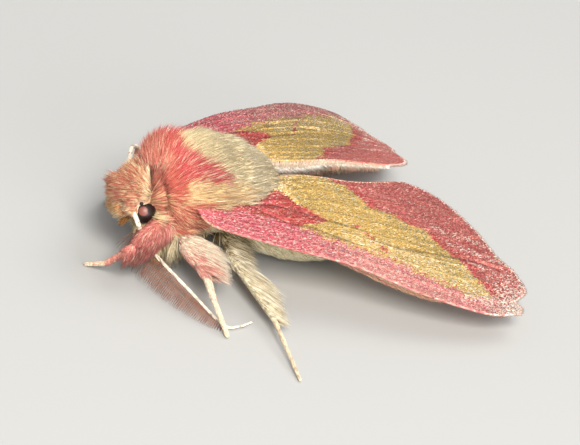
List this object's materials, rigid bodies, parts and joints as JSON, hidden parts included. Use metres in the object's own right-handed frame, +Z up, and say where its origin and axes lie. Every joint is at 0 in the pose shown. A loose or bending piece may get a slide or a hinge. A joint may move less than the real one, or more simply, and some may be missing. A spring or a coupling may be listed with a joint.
{
  "type": "moth",
  "caption": "Still life-size model of a resting pink and cream moth: furry body, roof-folded wings with raised veins, combed feelers and hairy legs.",
  "frame": {"origin": "middle of the whole moth's footprint, on the floor", "axes": "+Z up; the head points to -X and the moth's left side is towards -Y"},
  "size_m": [0.0184, 0.017, 0.0065],
  "materials": {
    "pink_coat": "soft pink coat of long hair-like scales",
    "cream_coat": "soft cream coat of long hair-like scales",
    "pink_wing": "matt scaled wing, rose pink and ochre yellow",
    "pale_wing": "matt scaled wing, pale cream and pink",
    "pale_leg": "cream hair and close scales",
    "shaft": "white-scaled shaft with red-brown filaments",
    "eye": "smooth dark compound eye"
  },
  "bodies": {
    "root": {"abdomen": "cream_coat", "antenna_left": "shaft", "antenna_right": "shaft", "eye_left": "eye", "eye_right": "eye", "femur_fore_left": "pink_coat", "femur_fore_right": "pink_coat", "femur_hind_left": "pale_leg", "femur_hind_right": "pale_leg", "femur_mid_left": "pale_leg", "femur_mid_right": "pale_leg", "forewing_left": "pink_wing", "forewing_right": "pink_wing", "head": "pink_coat", "hindwing_left": "pale_wing", "hindwing_right": "pale_wing", "palp_left": "cream_coat", "palp_right": "cream_coat", "tarsus_fore_left": "pink_coat", "tarsus_fore_right": "pink_coat", "tarsus_hind_left": "pale_leg", "tarsus_hind_right": "pale_leg", "tarsus_mid_left": "pale_leg", "tarsus_mid_right": "pale_leg", "thorax": "pink_coat", "tibia_fore_left": "pink_coat", "tibia_fore_right": "pink_coat", "tibia_hind_left": "pale_leg", "tibia_hind_right": "pale_leg", "tibia_mid_left": "pale_leg", "tibia_mid_right": "pale_leg"}
  },
  "joints": []
}
